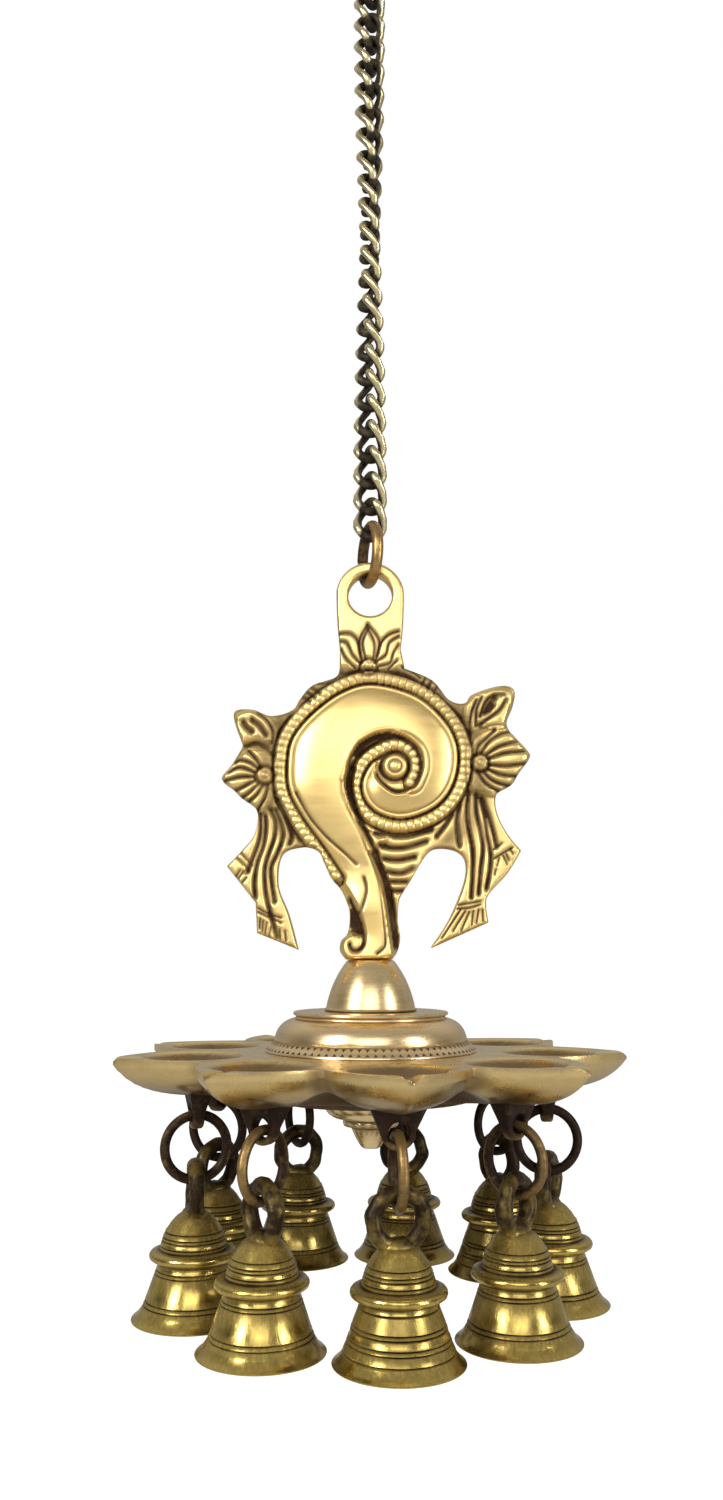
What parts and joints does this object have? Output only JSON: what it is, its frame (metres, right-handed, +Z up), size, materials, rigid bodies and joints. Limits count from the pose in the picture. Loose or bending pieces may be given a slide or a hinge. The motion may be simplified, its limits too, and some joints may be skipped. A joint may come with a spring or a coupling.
{
  "type": "hanging chain oil lamp",
  "caption": "Hanging oil lamp: a plate of pointed wick petals with small bells under it, hung by a cast conch plaque from a ring, a twisted curb chain and a hook.",
  "frame": {"origin": "the point inside the open bend of the ceiling hook where it bears on what it hangs from", "axes": "+Z up along the chain, +X to the viewer's right across the plaque's face, front towards -Y"},
  "size_m": [0.1602, 0.1614, 0.5208],
  "materials": {
    "polished_brass": "polished cast brass with dark patina in the recesses",
    "satin_brass": "satin cast brass, darker towards the underside",
    "antique_brass": "turned brass with an antique olive tone and dark grooves",
    "dark_bronze": "dark oxidised brass, worn bright on the raised sides",
    "rod_steel": "plain drawn rod, hidden inside the lamp"
  },
  "bodies": {
    "ceiling_hook": {"ceiling_hook": "dark_bronze"},
    "chain_link_01": {"chain_link_01": "dark_bronze"},
    "chain_link_02": {"chain_link_02": "dark_bronze"},
    "chain_link_03": {"chain_link_03": "dark_bronze"},
    "chain_link_04": {"chain_link_04": "dark_bronze"},
    "chain_link_05": {"chain_link_05": "dark_bronze"},
    "chain_link_06": {"chain_link_06": "dark_bronze"},
    "chain_link_07": {"chain_link_07": "dark_bronze"},
    "chain_link_08": {"chain_link_08": "dark_bronze"},
    "chain_link_09": {"chain_link_09": "dark_bronze"},
    "chain_link_10": {"chain_link_10": "dark_bronze"},
    "chain_link_11": {"chain_link_11": "dark_bronze"},
    "chain_link_12": {"chain_link_12": "dark_bronze"},
    "chain_link_13": {"chain_link_13": "dark_bronze"},
    "chain_link_14": {"chain_link_14": "dark_bronze"},
    "chain_link_15": {"chain_link_15": "dark_bronze"},
    "chain_link_16": {"chain_link_16": "dark_bronze"},
    "chain_link_17": {"chain_link_17": "dark_bronze"},
    "chain_link_18": {"chain_link_18": "dark_bronze"},
    "chain_link_19": {"chain_link_19": "dark_bronze"},
    "chain_link_20": {"chain_link_20": "dark_bronze"},
    "chain_link_21": {"chain_link_21": "dark_bronze"},
    "chain_link_22": {"chain_link_22": "dark_bronze"},
    "chain_link_23": {"chain_link_23": "dark_bronze"},
    "jump_ring": {"jump_ring": "dark_bronze"},
    "lamp": {"conch_plaque": "polished_brass", "pedestal_cone": "polished_brass", "dome_cap": "polished_brass", "lamp_plate": "satin_brass", "bottom_finial": "satin_brass", "tie_rod": "rod_steel"},
    "bell_ring_1": {"bell_ring_1": "dark_bronze"},
    "bell_ring_2": {"bell_ring_2": "dark_bronze"},
    "bell_ring_3": {"bell_ring_3": "dark_bronze"},
    "bell_ring_4": {"bell_ring_4": "dark_bronze"},
    "bell_ring_5": {"bell_ring_5": "dark_bronze"},
    "bell_ring_6": {"bell_ring_6": "dark_bronze"},
    "bell_ring_7": {"bell_ring_7": "dark_bronze"},
    "bell_ring_8": {"bell_ring_8": "dark_bronze"},
    "bell_ring_9": {"bell_ring_9": "dark_bronze"},
    "bell_1": {"bell_1": "antique_brass"},
    "bell_2": {"bell_2": "antique_brass"},
    "bell_3": {"bell_3": "antique_brass"},
    "bell_4": {"bell_4": "antique_brass"},
    "bell_5": {"bell_5": "antique_brass"},
    "bell_6": {"bell_6": "antique_brass"},
    "bell_7": {"bell_7": "antique_brass"},
    "bell_8": {"bell_8": "antique_brass"},
    "bell_9": {"bell_9": "antique_brass"},
    "clapper_1": {"clapper_1": "antique_brass"},
    "clapper_2": {"clapper_2": "antique_brass"},
    "clapper_3": {"clapper_3": "antique_brass"},
    "clapper_4": {"clapper_4": "antique_brass"},
    "clapper_5": {"clapper_5": "antique_brass"},
    "clapper_6": {"clapper_6": "antique_brass"},
    "clapper_7": {"clapper_7": "antique_brass"},
    "clapper_8": {"clapper_8": "antique_brass"},
    "clapper_9": {"clapper_9": "antique_brass"}
  },
  "joints": [
    {"name": "link_01_swing", "type": "hinge", "parent": "ceiling_hook", "child": "chain_link_01", "pos_m": [0, 0, -0.04189], "axis": [-0.4939, -0.8695, 0], "range_deg": [-20, 20]},
    {"name": "link_02_swing", "type": "hinge", "parent": "chain_link_01", "child": "chain_link_02", "pos_m": [0, 0, -0.05109], "axis": [0.4939, 0.8695, 0], "range_deg": [-20, 20]},
    {"name": "link_03_swing", "type": "hinge", "parent": "chain_link_02", "child": "chain_link_03", "pos_m": [0, 0, -0.06079], "axis": [-0.3875, -0.9219, 0], "range_deg": [-20, 20]},
    {"name": "link_04_swing", "type": "hinge", "parent": "chain_link_03", "child": "chain_link_04", "pos_m": [0, 0, -0.07049], "axis": [0.2756, 0.9613, 0], "range_deg": [-20, 20]},
    {"name": "link_05_swing", "type": "hinge", "parent": "chain_link_04", "child": "chain_link_05", "pos_m": [0, 0, -0.08019], "axis": [-0.1599, -0.9871, 0], "range_deg": [-20, 20]},
    {"name": "link_06_swing", "type": "hinge", "parent": "chain_link_05", "child": "chain_link_06", "pos_m": [0, 0, -0.08989], "axis": [0.0419, 0.9991, 0], "range_deg": [-20, 20]},
    {"name": "link_07_swing", "type": "hinge", "parent": "chain_link_06", "child": "chain_link_07", "pos_m": [0, 0, -0.09959], "axis": [0.0767, -0.9971, 0], "range_deg": [-20, 20]},
    {"name": "link_08_swing", "type": "hinge", "parent": "chain_link_07", "child": "chain_link_08", "pos_m": [0, 0, -0.10929], "axis": [-0.1942, 0.981, 0], "range_deg": [-20, 20]},
    {"name": "link_09_swing", "type": "hinge", "parent": "chain_link_08", "child": "chain_link_09", "pos_m": [0, 0, -0.11899], "axis": [0.309, -0.9511, 0], "range_deg": [-20, 20]},
    {"name": "link_10_swing", "type": "hinge", "parent": "chain_link_09", "child": "chain_link_10", "pos_m": [0, 0, -0.12869], "axis": [-0.4195, 0.9078, 0], "range_deg": [-20, 20]},
    {"name": "link_11_swing", "type": "hinge", "parent": "chain_link_10", "child": "chain_link_11", "pos_m": [0, 0, -0.13839], "axis": [0.524, -0.8517, 0], "range_deg": [-20, 20]},
    {"name": "link_12_swing", "type": "hinge", "parent": "chain_link_11", "child": "chain_link_12", "pos_m": [0, 0, -0.14809], "axis": [-0.6211, 0.7837, 0], "range_deg": [-20, 20]},
    {"name": "link_13_swing", "type": "hinge", "parent": "chain_link_12", "child": "chain_link_13", "pos_m": [0, 0, -0.15779], "axis": [0.7096, -0.7046, 0], "range_deg": [-20, 20]},
    {"name": "link_14_swing", "type": "hinge", "parent": "chain_link_13", "child": "chain_link_14", "pos_m": [0, 0, -0.16749], "axis": [-0.788, 0.6157, 0], "range_deg": [-20, 20]},
    {"name": "link_15_swing", "type": "hinge", "parent": "chain_link_14", "child": "chain_link_15", "pos_m": [0, 0, -0.17719], "axis": [0.8554, -0.518, 0], "range_deg": [-20, 20]},
    {"name": "link_16_swing", "type": "hinge", "parent": "chain_link_15", "child": "chain_link_16", "pos_m": [0, 0, -0.18689], "axis": [-0.9107, 0.4131, 0], "range_deg": [-20, 20]},
    {"name": "link_17_swing", "type": "hinge", "parent": "chain_link_16", "child": "chain_link_17", "pos_m": [0, 0, -0.19659], "axis": [0.9532, -0.3024, 0], "range_deg": [-20, 20]},
    {"name": "link_18_swing", "type": "hinge", "parent": "chain_link_17", "child": "chain_link_18", "pos_m": [0, 0, -0.20629], "axis": [-0.9823, 0.1874, 0], "range_deg": [-20, 20]},
    {"name": "link_19_swing", "type": "hinge", "parent": "chain_link_18", "child": "chain_link_19", "pos_m": [0, 0, -0.21599], "axis": [0.9976, -0.0698, 0], "range_deg": [-20, 20]},
    {"name": "link_20_swing", "type": "hinge", "parent": "chain_link_19", "child": "chain_link_20", "pos_m": [0, 0, -0.22569], "axis": [-0.9988, -0.0489, 0], "range_deg": [-20, 20]},
    {"name": "link_21_swing", "type": "hinge", "parent": "chain_link_20", "child": "chain_link_21", "pos_m": [0, 0, -0.23539], "axis": [0.986, 0.1668, 0], "range_deg": [-20, 20]},
    {"name": "link_22_swing", "type": "hinge", "parent": "chain_link_21", "child": "chain_link_22", "pos_m": [0, 0, -0.24509], "axis": [-0.9593, -0.2823, 0], "range_deg": [-20, 20]},
    {"name": "link_23_swing", "type": "hinge", "parent": "chain_link_22", "child": "chain_link_23", "pos_m": [0, 0, -0.25479], "axis": [0.9191, 0.3939, 0], "range_deg": [-20, 20]},
    {"name": "jump_ring_swing", "type": "hinge", "parent": "chain_link_23", "child": "jump_ring", "pos_m": [0, 0, -0.26449], "axis": [-0.866, -0.5, 0], "range_deg": [-20, 20]},
    {"name": "lamp_swing", "type": "hinge", "parent": "jump_ring", "child": "lamp", "pos_m": [0, 0, -0.28059], "axis": [-0.2588, 0.9659, 0], "range_deg": [-25, 25]},
    {"name": "bell_ring_1_swing", "type": "hinge", "parent": "lamp", "child": "bell_ring_1", "pos_m": [0.00702, -0.05556, -0.45604], "axis": [-0.9921, -0.1253, 0], "range_deg": [-12, 12]},
    {"name": "bell_1_swing", "type": "hinge", "parent": "bell_ring_1", "child": "bell_1", "pos_m": [0.00702, -0.05556, -0.47094], "axis": [0.9921, 0.1253, 0], "range_deg": [-30, 18]},
    {"name": "clapper_1_swing", "type": "hinge", "parent": "bell_1", "child": "clapper_1", "pos_m": [0.00702, -0.05556, -0.49424], "axis": [0.9921, 0.1253, 0], "range_deg": [-25, 25]},
    {"name": "bell_ring_2_swing", "type": "hinge", "parent": "lamp", "child": "bell_ring_2", "pos_m": [0.04109, -0.03805, -0.45604], "axis": [-0.6794, -0.7337, 0], "range_deg": [-12, 12]},
    {"name": "bell_2_swing", "type": "hinge", "parent": "bell_ring_2", "child": "bell_2", "pos_m": [0.04109, -0.03805, -0.47094], "axis": [0.6794, 0.7337, 0], "range_deg": [-30, 18]},
    {"name": "clapper_2_swing", "type": "hinge", "parent": "bell_2", "child": "clapper_2", "pos_m": [0.04109, -0.03805, -0.49424], "axis": [0.6794, 0.7337, 0], "range_deg": [-25, 25]},
    {"name": "bell_ring_3_swing", "type": "hinge", "parent": "lamp", "child": "bell_ring_3", "pos_m": [0.05593, -0.00274, -0.45604], "axis": [-0.0489, -0.9988, 0], "range_deg": [-12, 12]},
    {"name": "bell_3_swing", "type": "hinge", "parent": "bell_ring_3", "child": "bell_3", "pos_m": [0.05593, -0.00274, -0.47094], "axis": [0.0489, 0.9988, 0], "range_deg": [-30, 18]},
    {"name": "clapper_3_swing", "type": "hinge", "parent": "bell_3", "child": "clapper_3", "pos_m": [0.05593, -0.00274, -0.49424], "axis": [0.0489, 0.9988, 0], "range_deg": [-25, 25]},
    {"name": "bell_ring_4_swing", "type": "hinge", "parent": "lamp", "child": "bell_ring_4", "pos_m": [0.04461, 0.03386, -0.45604], "axis": [0.6046, -0.7965, 0], "range_deg": [-12, 12]},
    {"name": "bell_4_swing", "type": "hinge", "parent": "bell_ring_4", "child": "bell_4", "pos_m": [0.04461, 0.03386, -0.47094], "axis": [-0.6046, 0.7965, 0], "range_deg": [-30, 18]},
    {"name": "clapper_4_swing", "type": "hinge", "parent": "bell_4", "child": "clapper_4", "pos_m": [0.04461, 0.03386, -0.49424], "axis": [-0.6046, 0.7965, 0], "range_deg": [-25, 25]},
    {"name": "bell_ring_5_swing", "type": "hinge", "parent": "lamp", "child": "bell_ring_5", "pos_m": [0.01241, 0.05461, -0.45604], "axis": [0.9751, -0.2215, 0], "range_deg": [-12, 12]},
    {"name": "bell_5_swing", "type": "hinge", "parent": "bell_ring_5", "child": "bell_5", "pos_m": [0.01241, 0.05461, -0.47094], "axis": [-0.9751, 0.2215, 0], "range_deg": [-30, 18]},
    {"name": "clapper_5_swing", "type": "hinge", "parent": "bell_5", "child": "clapper_5", "pos_m": [0.01241, 0.05461, -0.49424], "axis": [-0.9751, 0.2215, 0], "range_deg": [-25, 25]},
    {"name": "bell_ring_6_swing", "type": "hinge", "parent": "lamp", "child": "bell_ring_6", "pos_m": [-0.0256, 0.04981, -0.45604], "axis": [0.8894, 0.4571, 0], "range_deg": [-12, 12]},
    {"name": "bell_6_swing", "type": "hinge", "parent": "bell_ring_6", "child": "bell_6", "pos_m": [-0.0256, 0.04981, -0.47094], "axis": [-0.8894, -0.4571, 0], "range_deg": [-30, 18]},
    {"name": "clapper_6_swing", "type": "hinge", "parent": "bell_6", "child": "clapper_6", "pos_m": [-0.0256, 0.04981, -0.49424], "axis": [-0.8894, -0.4571, 0], "range_deg": [-25, 25]},
    {"name": "bell_ring_7_swing", "type": "hinge", "parent": "lamp", "child": "bell_ring_7", "pos_m": [-0.05162, 0.0217, -0.45604], "axis": [0.3875, 0.9219, 0], "range_deg": [-12, 12]},
    {"name": "bell_7_swing", "type": "hinge", "parent": "bell_ring_7", "child": "bell_7", "pos_m": [-0.05162, 0.0217, -0.47094], "axis": [-0.3875, -0.9219, 0], "range_deg": [-30, 18]},
    {"name": "clapper_7_swing", "type": "hinge", "parent": "bell_7", "child": "clapper_7", "pos_m": [-0.05162, 0.0217, -0.49424], "axis": [-0.3875, -0.9219, 0], "range_deg": [-25, 25]},
    {"name": "bell_ring_8_swing", "type": "hinge", "parent": "lamp", "child": "bell_ring_8", "pos_m": [-0.0535, -0.01656, -0.45604], "axis": [-0.2957, 0.9553, 0], "range_deg": [-12, 12]},
    {"name": "bell_8_swing", "type": "hinge", "parent": "bell_ring_8", "child": "bell_8", "pos_m": [-0.0535, -0.01656, -0.47094], "axis": [0.2957, -0.9553, 0], "range_deg": [-30, 18]},
    {"name": "clapper_8_swing", "type": "hinge", "parent": "bell_8", "child": "clapper_8", "pos_m": [-0.0535, -0.01656, -0.49424], "axis": [0.2957, -0.9553, 0], "range_deg": [-25, 25]},
    {"name": "bell_ring_9_swing", "type": "hinge", "parent": "lamp", "child": "bell_ring_9", "pos_m": [-0.03034, -0.04707, -0.45604], "axis": [-0.8406, 0.5417, 0], "range_deg": [-12, 12]},
    {"name": "bell_9_swing", "type": "hinge", "parent": "bell_ring_9", "child": "bell_9", "pos_m": [-0.03034, -0.04707, -0.47094], "axis": [0.8406, -0.5417, 0], "range_deg": [-30, 18]},
    {"name": "clapper_9_swing", "type": "hinge", "parent": "bell_9", "child": "clapper_9", "pos_m": [-0.03034, -0.04707, -0.49424], "axis": [0.8406, -0.5417, 0], "range_deg": [-25, 25]}
  ]
}
